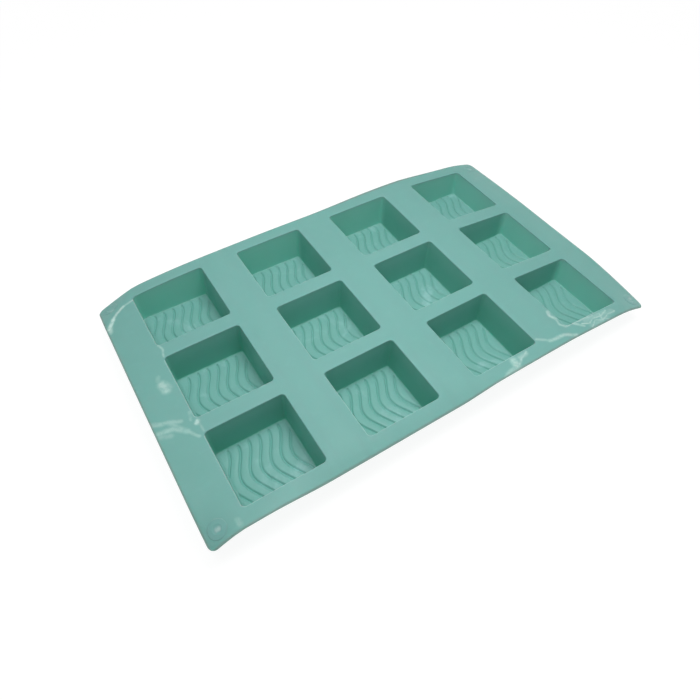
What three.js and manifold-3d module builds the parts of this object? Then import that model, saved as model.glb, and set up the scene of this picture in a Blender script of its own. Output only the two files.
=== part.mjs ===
// Silicone soap mould: a thin flexible sheet with square bar cavities hanging below it.
//
// On a bench the mould is one continuous moulding. It is divided here along the lines where
// it works: one strip of deck per column of cavities, a bending web between neighbouring
// strips, a wall shell round each cavity, and a wave-relief floor that pushes up in each
// cavity to free the bar. Columns run along +X, rows run towards -Y, and the cavities'
// undersides stand on z = 0.

import * as THREE from 'three';
import { mergeVertices } from 'three/addons/utils/BufferGeometryUtils.js';
import Module from 'manifold-3d';

const wasm = await Module();
wasm.setup();

// ---- Driving dimensions, in millimetres ----

const columnCount = 4;
const rowNames = ['A', 'B', 'C'];     // from the back row to the front row

const mouthSide = 46.4;               // square opening of a cavity at the deck
const mouthCornerRadius = 2.6;
const cavityDepth = 23.5;             // deck top down to the plain part of the floor
const wallDraft = 1.4;                // how far each wall leans in from mouth to floor
const wallThickness = 1.4;

const columnGap = 24.1;               // deck between the mouths of two columns
const rowGap = 9.6;                   // deck between the mouths of two rows
const endMargin = 21.05;              // deck beyond the first and the last column
const sideMargin = 8.8;               // deck beyond the front and the back row

const deckThickness = 1.5;
const floorThickness = 1.5;
const sheetCornerRadius = 4;
const webLand = 4.6;                  // deck between a mouth and the bending web

const waveCount = 7;                  // grooves across a cavity floor
const wavePitch = 6.15;               // from one floor groove to the next
const waveSwing = 3.6;                // how far a groove swings to each side
const waveLength = 39;                // one full swing, measured from back to front
const grooveWidth = 1;
const grooveDepth = 0.5;

const endSag = 5;                     // how far the free ends of the sheet hang down
const cornerSag = 3;                  // further sag of the long edges at the corners

const buttonRadius = 4.5;             // round moulding mark in each corner of the sheet
const buttonInset = 7;                // its centre from both edges of the sheet
const buttonRise = 0.4;
const dimpleRadius = 1.9;
const dimpleDepth = 0.6;

// ---- Clearances, in millimetres ----

const pieceGap = 0.3;                 // between two regions of the moulding
const cutterOverrun = 5;              // how far a cutting solid passes a surface

// ---- Fineness of the faceted curves ----

const cornerSegments = 4;
const roundSegments = 20;
const waveSegments = 8;               // straight runs in one full swing of a groove

// ---- Sizes worked out from the above ----

const rowCount = rowNames.length;
const columnPitch = mouthSide + columnGap;
const rowPitch = mouthSide + rowGap;
const sheetLength = columnPitch * (columnCount - 1) + mouthSide + 2 * endMargin;
const sheetDepth = rowPitch * (rowCount - 1) + mouthSide + 2 * sideMargin;
const deckTop = cavityDepth + floorThickness;
const deckUnderside = deckTop - deckThickness;
const webWidth = columnGap - 2 * (webLand + pieceGap);
const floorSide = cavitySide(0) - 2 * pieceGap;

// Side of the square cavity at height z, narrowing from the mouth to the floor.
function cavitySide(z) {
  return mouthSide - 2 * wallDraft * (deckTop - z) / cavityDepth;
}

function columnX(column) {
  return (column - (columnCount - 1) / 2) * columnPitch;
}

function rowY(row) {
  return ((rowCount - 1) / 2 - row) * rowPitch;
}

// ---- Materials ----

function silicone(colour, roughness) {
  return new THREE.MeshStandardMaterial({ color: colour, roughness, metalness: 0 });
}

const deckSilicone = silicone(0x7eb2aa, 0.5);
const webSilicone = silicone(0x76aca3, 0.5);
const wallSilicone = silicone(0x5c9c8e, 0.45);
const floorSilicone = silicone(0x73b2a8, 0.35);

// ---- Solids ----

// A boolean solid from a closed three.js geometry.
function solid(geometry) {
  const bare = geometry.clone();
  bare.deleteAttribute('normal');
  bare.deleteAttribute('uv');
  const merged = mergeVertices(bare, 1e-4);
  return new wasm.Manifold(new wasm.Mesh({
    numProp: 3,
    vertProperties: new Float32Array(merged.attributes.position.array),
    triVerts: new Uint32Array(merged.index.array),
  }));
}

function geometryOf(manifold) {
  const mesh = manifold.getMesh();
  const geometry = new THREE.BufferGeometry();
  geometry.setAttribute('position', new THREE.BufferAttribute(mesh.vertProperties, 3));
  geometry.setIndex(new THREE.BufferAttribute(mesh.triVerts, 1));
  geometry.computeVertexNormals();
  return geometry;
}

function roundedRectangle(width, depth, radius) {
  const x = width / 2 - radius;
  const y = depth / 2 - radius;
  const quarter = Math.PI / 2;
  const shape = new THREE.Shape();
  shape.absarc(x, y, radius, 0, quarter);
  shape.absarc(-x, y, radius, quarter, 2 * quarter);
  shape.absarc(-x, -y, radius, 2 * quarter, 3 * quarter);
  shape.absarc(x, -y, radius, 3 * quarter, 4 * quarter);
  return shape;
}

function prism(shape, zLow, zHigh) {
  const options = { depth: zHigh - zLow, bevelEnabled: false, curveSegments: cornerSegments };
  return new THREE.ExtrudeGeometry(shape, options).translate(0, 0, zLow);
}

// A square prism with rounded corners whose sides follow the cavity's draft, set outwards
// by the given amount.
function draftedPrism(outset, zLow, zHigh) {
  const side = mouthSide + 2 * outset;
  const geometry = prism(roundedRectangle(side, side, mouthCornerRadius + outset), zLow, zHigh);
  const position = geometry.attributes.position;
  for (let i = 0; i < position.count; i += 1) {
    const scale = (cavitySide(position.getZ(i)) + 2 * outset) / side;
    position.setXY(i, position.getX(i) * scale, position.getY(i) * scale);
  }
  return solid(geometry);
}

// ---- Deck: flat around the cavities, hanging down at the free ends and corners ----

// 0 at the start of a ramp and 1 at its end, starting tangent to the flat deck.
function ramp(value, start, end) {
  const t = THREE.MathUtils.clamp((value - start) / (end - start), 0, 1);
  return t ** 1.5;
}

const flatHalfLength = columnX(columnCount - 1) + mouthSide / 2 + wallThickness + pieceGap;
const flatHalfDepth = rowY(0) + mouthSide / 2 + wallThickness + pieceGap;
const cornerSagStart = columnX(columnCount - 1) - columnPitch / 2 + webWidth / 2;

function sag(x, y) {
  const towardsEnd = ramp(Math.abs(x), cornerSagStart, sheetLength / 2);
  const towardsSide = ramp(Math.abs(y), flatHalfDepth, sheetDepth / 2);
  const end = endSag * ramp(Math.abs(x), flatHalfLength, sheetLength / 2);
  return end + cornerSag * towardsEnd * towardsSide;
}

function evenly(start, end, count) {
  return Array.from({ length: count + 1 }, (_, i) => start + (end - start) * i / count);
}

// A sheet of deck thickness over a grid of stations, lowered by the sag.
function saggedSheet(xStations, yStations) {
  const cellsX = xStations.length - 1;
  const cellsY = yStations.length - 1;
  const geometry = new THREE.BoxGeometry(cellsX, cellsY, deckThickness, cellsX, cellsY, 1);
  const position = geometry.attributes.position;
  for (let i = 0; i < position.count; i += 1) {
    const x = xStations[Math.round(position.getX(i) + cellsX / 2)];
    const y = yStations[Math.round(position.getY(i) + cellsY / 2)];
    const z = position.getZ(i) + deckTop - deckThickness / 2 - sag(x, y);
    position.setXYZ(i, x, y, z);
  }
  return solid(geometry);
}

function deckStationsX(column) {
  const nearWeb = columnPitch / 2 - webWidth / 2 - pieceGap;
  const low = columnX(column) - nearWeb;
  const high = columnX(column) + nearWeb;
  const half = sheetLength / 2;
  if (column === 0) {
    return [...evenly(-half, -flatHalfLength, 3), ...evenly(-flatHalfLength, high, 2).slice(1)];
  }
  if (column === columnCount - 1) {
    return [...evenly(low, flatHalfLength, 2), ...evenly(flatHalfLength, half, 3).slice(1)];
  }
  return [low, high];
}

function deckStationsY() {
  const half = sheetDepth / 2;
  return [...evenly(-half, -flatHalfDepth, 2), ...evenly(flatHalfDepth, half, 2)];
}

// The frame of a corner button: at the sheet's surface, leaning with the sheet.
function buttonFrame(sideX, sideY) {
  const x = sideX * (sheetLength / 2 - buttonInset);
  const y = sideY * (sheetDepth / 2 - buttonInset);
  const r = buttonRadius;
  const slopeX = (sag(x + r, y) - sag(x - r, y)) / (2 * r);
  const slopeY = (sag(x, y + r) - sag(x, y - r)) / (2 * r);
  const normal = new THREE.Vector3(slopeX, slopeY, 1).normalize();
  const turn = new THREE.Quaternion().setFromUnitVectors(new THREE.Vector3(0, 0, 1), normal);
  const place = new THREE.Vector3(x, y, deckTop - sag(x, y));
  return new THREE.Matrix4().compose(place, turn, new THREE.Vector3(1, 1, 1));
}

function buttonHole(sideX, sideY) {
  const height = 2 * (deckThickness + cutterOverrun);
  const hole = new THREE.CylinderGeometry(
    buttonRadius + pieceGap, buttonRadius + pieceGap, height, roundSegments,
  );
  return solid(hole.rotateX(Math.PI / 2).applyMatrix4(buttonFrame(sideX, sideY)));
}

function deckPanel(column) {
  const outline = roundedRectangle(sheetLength, sheetDepth, sheetCornerRadius);
  const zLow = deckUnderside - endSag - cornerSag - cutterOverrun;
  const zHigh = deckTop + cutterOverrun;
  let panel = saggedSheet(deckStationsX(column), deckStationsY());
  panel = panel.intersect(solid(prism(outline, zLow, zHigh)));
  const mouth = roundedRectangle(mouthSide, mouthSide, mouthCornerRadius);
  for (let row = 0; row < rowCount; row += 1) {
    const cutter = prism(mouth, zLow, zHigh).translate(columnX(column), rowY(row), 0);
    panel = panel.subtract(solid(cutter));
  }
  const endSide = column === 0 ? -1 : 1;
  if (column === 0 || column === columnCount - 1) {
    panel = panel.subtract(buttonHole(endSide, 1)).subtract(buttonHole(endSide, -1));
  }
  return geometryOf(panel);
}

// ---- Bending web between two columns ----

function hingeWeb() {
  return new THREE.BoxGeometry(webWidth, sheetDepth, deckThickness);
}

// ---- Cavity walls and floor, in the cavity's own frame ----

function cavityWall() {
  const top = deckUnderside - pieceGap;
  const outside = draftedPrism(wallThickness, 0, top);
  const inside = draftedPrism(0, -cutterOverrun, top + cutterOverrun);
  return geometryOf(outside.subtract(inside));
}

// One swinging groove: a ribbon of constant width along X whose centre follows a cosine
// from back to front, furthest left in the middle of the floor.
function grooveCutter(x) {
  const halfRun = floorSide / 2 + cutterOverrun;
  const runs = Math.ceil(waveSegments * 2 * halfRun / waveLength);
  const centre = evenly(halfRun, -halfRun, runs).map((y) => (
    new THREE.Vector2(x - waveSwing * Math.cos(2 * Math.PI * y / waveLength), y)
  ));
  const halfWidth = grooveWidth / 2;
  const right = centre.map((p) => new THREE.Vector2(p.x + halfWidth, p.y));
  const left = centre.map((p) => new THREE.Vector2(p.x - halfWidth, p.y)).reverse();
  const ribbon = new THREE.Shape([...right, ...left]);
  return solid(prism(ribbon, floorThickness - grooveDepth, floorThickness + cutterOverrun));
}

function waveFloor() {
  const outline = roundedRectangle(floorSide, floorSide, mouthCornerRadius);
  let floor = solid(prism(outline, 0, floorThickness));
  for (let i = 0; i < waveCount; i += 1) {
    floor = floor.subtract(grooveCutter((i - (waveCount - 1) / 2) * wavePitch));
  }
  return geometryOf(floor);
}

// ---- Corner button: a low disc with a dimple, its top standing just above the deck ----

function cornerButton() {
  const edge = buttonRise / 2;
  const profile = [
    [0, -deckThickness],
    [buttonRadius, -deckThickness],
    [buttonRadius, buttonRise - edge],
    [buttonRadius - edge, buttonRise],
    [dimpleRadius, buttonRise],
    [dimpleRadius - edge, buttonRise - dimpleDepth],
    [0, buttonRise - dimpleDepth],
  ].map(([radius, height]) => new THREE.Vector2(radius, height));
  return new THREE.LatheGeometry(profile, roundSegments).rotateX(Math.PI / 2);
}

// ---- The mould ----

function namedMesh(name, geometry, material) {
  const mesh = new THREE.Mesh(geometry, material);
  mesh.name = name;
  return mesh;
}

const mould = new THREE.Group();

for (let column = 0; column < columnCount; column += 1) {
  mould.add(namedMesh(`deck_panel_${column + 1}`, deckPanel(column), deckSilicone));
}

for (let column = 1; column < columnCount; column += 1) {
  const web = namedMesh(`hinge_web_${column}${column + 1}`, hingeWeb(), webSilicone);
  const x = (columnX(column - 1) + columnX(column)) / 2;
  web.position.set(x, 0, deckTop - deckThickness / 2);
  mould.add(web);
}

const wallGeometry = cavityWall();
const floorGeometry = waveFloor();
for (let column = 0; column < columnCount; column += 1) {
  for (let row = 0; row < rowCount; row += 1) {
    const label = `${rowNames[row]}${column + 1}`;
    const cavity = new THREE.Group();
    cavity.position.set(columnX(column), rowY(row), 0);
    cavity.add(namedMesh(`cavity_wall_${label}`, wallGeometry, wallSilicone));
    cavity.add(namedMesh(`wave_floor_${label}`, floorGeometry, floorSilicone));
    mould.add(cavity);
  }
}

const corners = [
  ['back_left', -1, 1],
  ['back_right', 1, 1],
  ['front_left', -1, -1],
  ['front_right', 1, -1],
];
for (const [place, sideX, sideY] of corners) {
  const button = namedMesh(`corner_button_${place}`, cornerButton(), deckSilicone);
  button.applyMatrix4(buttonFrame(sideX, sideY));
  mould.add(button);
}

export default mould;
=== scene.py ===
"""A flexible silicone soap mould: a thin deck sheet with twelve square cavities and wavy floors."""

import logging
import math
from dataclasses import dataclass, field
from enum import Enum
from typing import NamedTuple

import bpy
import numpy as np
from mathutils import Matrix, Vector


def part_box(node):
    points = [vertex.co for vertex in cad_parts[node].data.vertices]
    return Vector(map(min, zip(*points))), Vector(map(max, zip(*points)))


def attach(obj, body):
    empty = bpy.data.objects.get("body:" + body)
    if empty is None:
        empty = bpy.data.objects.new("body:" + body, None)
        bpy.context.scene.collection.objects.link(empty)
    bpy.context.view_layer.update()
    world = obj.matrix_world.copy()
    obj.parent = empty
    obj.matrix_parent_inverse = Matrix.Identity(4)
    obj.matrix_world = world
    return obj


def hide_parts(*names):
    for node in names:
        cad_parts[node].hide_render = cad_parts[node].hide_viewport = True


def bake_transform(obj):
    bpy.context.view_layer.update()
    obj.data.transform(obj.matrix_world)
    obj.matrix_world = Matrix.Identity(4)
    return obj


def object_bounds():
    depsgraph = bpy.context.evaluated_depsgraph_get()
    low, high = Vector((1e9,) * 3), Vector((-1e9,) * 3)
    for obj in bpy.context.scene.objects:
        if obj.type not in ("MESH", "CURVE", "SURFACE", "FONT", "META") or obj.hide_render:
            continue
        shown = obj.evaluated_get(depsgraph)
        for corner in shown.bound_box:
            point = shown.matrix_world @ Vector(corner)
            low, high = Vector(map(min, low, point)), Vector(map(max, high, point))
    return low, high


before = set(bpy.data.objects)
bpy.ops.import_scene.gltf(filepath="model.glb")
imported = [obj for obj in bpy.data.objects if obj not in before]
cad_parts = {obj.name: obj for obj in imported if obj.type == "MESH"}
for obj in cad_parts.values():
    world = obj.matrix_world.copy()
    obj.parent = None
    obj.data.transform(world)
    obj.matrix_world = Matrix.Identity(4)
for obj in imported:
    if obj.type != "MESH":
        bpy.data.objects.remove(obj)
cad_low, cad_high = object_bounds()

MM = 0.001
Array = np.ndarray
Colour = tuple[float, float, float, float]
Socket = bpy.types.NodeSocket

log = logging.getLogger("soap_mould")


# ---------------------------------------------------------------- plain helpers


def srgb(red: int, green: int, blue: int) -> Colour:
    """Turns an everyday 0 to 255 colour into the linear colour a shader reads.

    Args:
        red: Red share, 0 to 255.
        green: Green share, 0 to 255.
        blue: Blue share, 0 to 255.

    Returns:
        Linear red, green, blue and a full alpha.
    """
    parts = np.array([red, green, blue], float) / 255.0
    bent = np.where(parts <= 0.04045, parts / 12.92, ((parts + 0.055) / 1.055) ** 2.4)
    return (float(bent[0]), float(bent[1]), float(bent[2]), 1.0)


def rise(value: Array, start: float, end: float, power: float = 1.5) -> Array:
    """A ramp: 0 before start, 1 after end, and the share of the way raised to a power between.

    Args:
        value: Where to read the ramp.
        start: Where the ramp leaves 0.
        end: Where the ramp reaches 1.
        power: How late the ramp bends up.

    Returns:
        The ramp's height at each value.
    """
    return np.clip((value - start) / (end - start), 0.0, 1.0) ** power


def ease(value: Array, start: float, end: float) -> Array:
    """A soft step: three times the share squared less twice the share cubed.

    Args:
        value: Where to read the step.
        start: Where the step leaves 0.
        end: Where the step reaches 1.

    Returns:
        The step's height at each value.
    """
    share = np.clip((value - start) / (end - start), 0.0, 1.0)
    return share * share * (3.0 - 2.0 * share)


def soft_hinge(value: Array, radius: float) -> Array:
    """Half of value and of the root of value squared plus radius squared: 0 far below, value far above.

    Args:
        value: Signed distance past the fold.
        radius: How round the fold is.

    Returns:
        The rounded positive part of value.
    """
    return 0.5 * (value + np.sqrt(value * value + radius * radius))


class Sheet(NamedTuple):
    """A surface: its points, its four-cornered faces, and the place under each point if it has one."""

    points: Array
    faces: Array
    under: Array | None = None


def grid_faces(rows: int, columns: int, closed_rows: bool = False, closed_columns: bool = False) -> Array:
    """Joins a grid of points, row after row, with one quad between four neighbours.

    Args:
        rows: Points down the grid.
        columns: Points across the grid.
        closed_rows: Whether the last row joins the first.
        closed_columns: Whether the last column joins the first.

    Returns:
        Quads as rows of four point numbers.
    """
    down = np.arange(rows if closed_rows else rows - 1)[:, None]
    across = np.arange(columns if closed_columns else columns - 1)[None, :]
    next_down = (down + 1) % rows
    next_across = (across + 1) % columns
    corners = (
        down * columns + across,
        down * columns + next_across,
        next_down * columns + next_across,
        next_down * columns + across,
    )
    return np.stack([np.broadcast_to(c, (len(down), across.shape[1])) for c in corners], -1).reshape(-1, 4)


def weld(sheet: Sheet, tolerance: float = 1e-6) -> Sheet:
    """Makes one point of those that share a place, and leaves out faces that this closes up.

    Args:
        sheet: Points and faces, with doubles.
        tolerance: Points are rounded to a lattice of this step to compare them.

    Returns:
        The same surface without doubles.
    """
    keys = np.round(sheet.points / tolerance).astype(np.int64)
    _, first, number = np.unique(keys, axis=0, return_index=True, return_inverse=True)
    faces = number.reshape(-1)[sheet.faces]
    order = np.sort(faces, 1)
    whole = (np.diff(order, axis=1) > 0).all(1)
    under = None if sheet.under is None else sheet.under[first]
    return Sheet(sheet.points[first], faces[whole], under)


def rim_edges(faces: Array) -> Array:
    """Finds the directed edges that only one face uses: those whose reverse is no face's edge.

    Args:
        faces: Quads as rows of four point numbers.

    Returns:
        Rows of two point numbers, in the direction of their face.
    """
    ends = np.stack([faces, np.roll(faces, -1, 1)], -1).reshape(-1, 2)
    span = int(faces.max()) + 1
    forward = ends[:, 0] * span + ends[:, 1]
    backward = ends[:, 1] * span + ends[:, 0]
    return ends[~np.isin(forward, backward)]


def thicken(sheet: Sheet, outward: Array, rows: int = 6) -> Sheet:
    """Closes a surface and the surface under it with a rounded lip.

    Round the open rim, row number j of the lip is the rim moved out by outward times the sine of
    its angle, and towards its place below by half of one less the cosine, as the angle goes from 0
    to a half turn. Where outward is nought the lip is a plain wall.

    Args:
        sheet: The top surface, with the place under each point.
        outward: For each top point, the way and distance the lip bulges.
        rows: Steps of the lip between top and underside.

    Returns:
        A closed surface.
    """
    count = len(sheet.points)
    edges = rim_edges(sheet.faces)
    rim, number = np.unique(edges, return_inverse=True)
    edges = number.reshape(edges.shape)
    angle = np.linspace(0.0, math.pi, rows + 1)[1:-1, None, None]
    drop = sheet.under[rim] - sheet.points[rim]
    lip = sheet.points[rim] + outward[rim] * np.sin(angle) + drop * (1.0 - np.cos(angle)) / 2.0
    middle = 2 * count + np.arange((rows - 1) * len(rim)).reshape(rows - 1, len(rim))
    levels = np.concatenate([rim[None, :], middle, (rim + count)[None, :]])
    start, end = levels[:, edges[:, 0]], levels[:, edges[:, 1]]
    sides = np.stack([start[1:], end[1:], end[:-1], start[:-1]], -1).reshape(-1, 4)
    points = np.concatenate([sheet.points, sheet.under, lip.reshape(-1, 3)])
    faces = np.concatenate([sheet.faces, sheet.faces[:, ::-1] + count, sides])
    return weld(Sheet(points, faces))


def zip_loops(outer: Array, inner: Array, outer_place: Array, inner_place: Array) -> Array:
    """Fills the band between two closed loops that have different numbers of points.

    Both loops run the same way and start together. Going round, the loop whose next point comes
    first takes a step, and each step makes one triangle with the other loop's latest point.

    Args:
        outer: Point numbers of the outer loop.
        inner: Point numbers of the inner loop.
        outer_place: Place of each outer point, rising from 0.
        inner_place: Place of each inner point, rising from 0.

    Returns:
        Triangles as rows of three point numbers, turned counter-clockwise from above.
    """
    lap = 4.0
    outer_end = np.append(outer_place[1:], lap)
    inner_end = np.append(inner_place[1:], lap)
    beside_outer = np.searchsorted(inner_place, outer_end, side="left") - 1
    beside_inner = np.searchsorted(np.append(outer_place, lap), inner_end, side="right") - 1
    first = np.stack([outer, np.roll(outer, -1), inner[beside_outer]], -1)
    second = np.stack([inner, outer[beside_inner % len(outer)], np.roll(inner, -1)], -1)
    return np.concatenate([first, second])


def make_piece(name: str, points: Array, faces: list[Array], finish: bpy.types.Material,
               crease_deg: float = 38.0) -> bpy.types.Object:
    """Puts points and faces into a new object at the origin, smooth but for its sharp edges.

    Args:
        name: The piece's name.
        points: Places of its points, in metres.
        faces: Arrays of faces; each array holds faces with the same number of corners.
        finish: Its material.
        crease_deg: Edges that bend more than this stay sharp.

    Returns:
        The new object, in the scene.
    """
    mesh = bpy.data.meshes.new(name)
    loops = np.concatenate([f.reshape(-1) for f in faces]).astype(np.int32)
    sizes = np.concatenate([np.full(len(f), f.shape[1]) for f in faces]).astype(np.int32)
    mesh.vertices.add(len(points))
    mesh.vertices.foreach_set("co", np.ascontiguousarray(points, np.float32).reshape(-1))
    mesh.loops.add(len(loops))
    mesh.loops.foreach_set("vertex_index", loops)
    mesh.polygons.add(len(sizes))
    starts = np.concatenate([[0], np.cumsum(sizes)[:-1]]).astype(np.int32)
    mesh.polygons.foreach_set("loop_start", starts)
    mesh.polygons.foreach_set("use_smooth", np.ones(len(sizes), bool))
    mesh.update(calc_edges=True)
    mesh.validate()
    mesh.set_sharp_from_angle(angle=math.radians(crease_deg))
    mesh.materials.append(finish)
    piece = bpy.data.objects.new(name, mesh)
    bpy.context.scene.collection.objects.link(piece)
    return piece


# ---------------------------------------------------------------- the shape that all pieces share


@dataclass(frozen=True)
class SquareRing:
    """Points round a square with rounded corners, the same number for every size.

    Each side runs from the middle of one corner to the middle of the next: half a corner, the
    straight, half a corner. The four sides are the first one turned by quarter turns.
    """

    corner_steps: int = 6
    straight_steps: int = 14

    @property
    def count(self) -> int:
        """Points in one whole ring."""
        return 4 * (2 * self.corner_steps + self.straight_steps)

    def _side(self) -> tuple[Array, Array]:
        """The straight's share, -1 to 1, and the corner's angle for each point of one side."""
        bend = np.linspace(0.0, math.pi / 4.0, self.corner_steps + 1)
        run = np.linspace(-1.0, 1.0, self.straight_steps + 1)
        share = np.concatenate([-np.ones(self.corner_steps), run, np.ones(self.corner_steps - 1)])
        angle = np.concatenate([-bend[:0:-1], np.zeros(self.straight_steps + 1), bend[1:-1]])
        return share, angle

    def points(self, half: Array, radius: Array) -> Array:
        """Rings for many sizes at once.

        On the first side a point is half less radius plus radius times the cosine of its angle to
        the right, and (half less radius) times its share plus radius times the sine upward.

        Args:
            half: Half widths.
            radius: Corner radii, one for each half width.

        Returns:
            Array of size by point by two.
        """
        share, angle = self._side()
        flat = (half - radius)[:, None]
        bend = radius[:, None]
        x = flat + bend * np.cos(angle)
        y = flat * share + bend * np.sin(angle)
        turns = [np.stack(pair, -1) for pair in ((x, y), (-y, x), (-x, -y), (y, -x))]
        return np.concatenate(turns, 1)

    def shares(self, half: float, radius: float) -> Array:
        """Where each point of one side lies between the two corners, from -1 to 1.

        Args:
            half: Half width.
            radius: Corner radius.

        Returns:
            One number for each point of a side.
        """
        share, angle = self._side()
        reach = half - radius + radius * math.sqrt(0.5)
        return ((half - radius) * share + radius * np.sin(angle)) / reach

    def places(self, half: float, radius: float) -> Array:
        """Place of each point round the ring, from 0 to 4, one for each side.

        Args:
            half: Half width.
            radius: Corner radius.

        Returns:
            One rising number for each point.
        """
        one = (self.shares(half, radius) + 1.0) / 2.0
        return np.concatenate([one, one + 1.0, one + 2.0, one + 3.0])


@dataclass(frozen=True)
class Droop:
    """How the limp sheet hangs below its flat deck level, in metres.

    The right end slopes down past its last cavities, the back left corner is folded down along a
    crease, and the free edges sag a little.
    """

    right_start: float = 80.0 * MM
    right_slope: float = 0.104
    right_round: float = 6.0 * MM
    back_left_depth: float = 6.1 * MM
    back_left_start: float = 60.0 * MM
    back_left_length: float = 90.0 * MM
    fold_point: tuple[float, float] = (-141.0 * MM, 74.2 * MM)
    fold_away: tuple[float, float] = (-0.658, 0.753)
    fold_slope: float = 0.43
    fold_round: float = 2.0 * MM
    left_lip: float = 0.3 * MM
    right_lip: float = 1.2 * MM
    front_lip: float = 3.0 * MM
    back_lip: float = 0.5 * MM
    end_lip_width: float = 20.0 * MM
    front_lip_width: float = 12.0 * MM
    back_lip_width: float = 8.0 * MM
    front_lip_right: tuple[float, float] = (25.0 * MM, -5.0 * MM)
    front_lip_left: tuple[float, float] = (-120.0 * MM, -85.0 * MM)
    back_lip_left: tuple[float, float] = (-80.0 * MM, -30.0 * MM)
    front_right_corner: float = 4.8 * MM
    back_right_corner: float = 1.7 * MM
    front_left_corner: float = 7.5 * MM
    right_corner_start: float = 124.0 * MM
    left_corner_start: float = 132.0 * MM
    front_right_start: float = 36.0 * MM
    back_right_start: float = 20.0 * MM
    front_left_start: float = 62.0 * MM
    bow: float = 1.4 * MM
    bow_middle: float = 60.0 * MM
    bow_reach: float = 62.0 * MM
    bow_start: float = 80.0 * MM
    wave: float = 0.25 * MM
    wave_length: float = 74.0 * MM
    wave_start: tuple[float, float] = (110.0 * MM, 60.0 * MM)
    half_length: float = 150.0 * MM
    half_depth: float = 88.0 * MM
    floor_level: float = 1.5 * MM
    deck_level: float = 25.0 * MM
    deck_band: float = 2.0 * MM

    def depth(self, x: Array, y: Array) -> Array:
        """The sum of the slopes, lips, folds and slight waves at a place on the sheet.

        Args:
            x: Places along the sheet.
            y: Places across the sheet.

        Returns:
            How far the deck hangs there.
        """
        slope = self.right_slope * soft_hinge(x - self.right_start, self.right_round)
        twist = np.maximum(0.0, (-x - self.back_left_start) / self.back_left_length) ** 2
        twisted = self.back_left_depth * twist * np.clip(y / self.half_depth, 0.0, 1.0)
        past = (x - self.fold_point[0]) * self.fold_away[0] + (y - self.fold_point[1]) * self.fold_away[1]
        fold = self.fold_slope * soft_hinge(past, self.fold_round)
        return slope + twisted + fold + self._lips(x, y) + self._corners(x, y) + self._waves(x, y)

    def _lips(self, x: Array, y: Array) -> Array:
        """How far the four free margins curl down, each growing towards its edge of the sheet.

        Args:
            x: Places along the sheet.
            y: Places across the sheet.

        Returns:
            The four margins' depths added up.
        """
        end_start = self.half_length - self.end_lip_width
        left = self.left_lip * rise(-x, end_start, self.half_length)
        right = self.right_lip * rise(x, end_start, self.half_length)
        middle = ease(-x, -self.front_lip_right[0], -self.front_lip_right[1]) * ease(x, *self.front_lip_left)
        front = self.front_lip * rise(-y, self.half_depth - self.front_lip_width, self.half_depth) * middle
        left_share = ease(-x, -self.back_lip_left[1], -self.back_lip_left[0])
        rear = self.back_lip * rise(y, self.half_depth - self.back_lip_width, self.half_depth) * left_share
        return left + right + front + rear

    def _corners(self, x: Array, y: Array) -> Array:
        """How far three of the corners hang, each growing both along and across the sheet.

        Args:
            x: Places along the sheet.
            y: Places across the sheet.

        Returns:
            The three corners' depths added up.
        """
        right = rise(x, self.right_corner_start, self.half_length)
        left = rise(-x, self.left_corner_start, self.half_length)
        front_right = self.front_right_corner * right * rise(-y, self.front_right_start, self.half_depth)
        back_right = self.back_right_corner * right * rise(y, self.back_right_start, self.half_depth)
        front_left = self.front_left_corner * left * rise(-y, self.front_left_start, self.half_depth)
        return front_right + back_right + front_left

    def _waves(self, x: Array, y: Array) -> Array:
        """Two crossing sine waves that grow from nothing inside to their full height at the edges.

        Args:
            x: Places along the sheet.
            y: Places across the sheet.

        Returns:
            The waves' depth.
        """
        turn = 2.0 * math.pi / self.wave_length
        rolls = 0.5 + 0.25 * np.sin(turn * x + 0.7) + 0.25 * np.sin(turn * 0.83 * y - 0.03 * turn * x + 1.9)
        outside = rise(np.abs(x), self.wave_start[0], self.half_length, 1.0)
        outside = outside + rise(np.abs(y), self.wave_start[1], self.half_depth, 1.0)
        return self.wave * rolls * np.minimum(1.0, outside)

    def hang(self, points: Array) -> Array:
        """Lowers points by the sheet's depth, in full at deck level and not at all on the floors.

        The middle of the free back edge also bows out a little.

        Args:
            points: Places before the sheet hangs.

        Returns:
            The places after it.
        """
        full_height = self.deck_level - self.floor_level - self.deck_band
        share = np.clip((points[:, 2] - self.floor_level) / full_height, 0.0, 1.0)
        hung = points.copy()
        hung[:, 2] -= share * self.depth(points[:, 0], points[:, 1])
        away = np.clip(np.abs(points[:, 0] - self.bow_middle) / self.bow_reach, 0.0, 1.0)
        at_back = rise(points[:, 1], self.bow_start, self.half_depth, 1.0)
        hung[:, 1] += self.bow * (1.0 - away * away) ** 2 * at_back
        return hung


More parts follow.
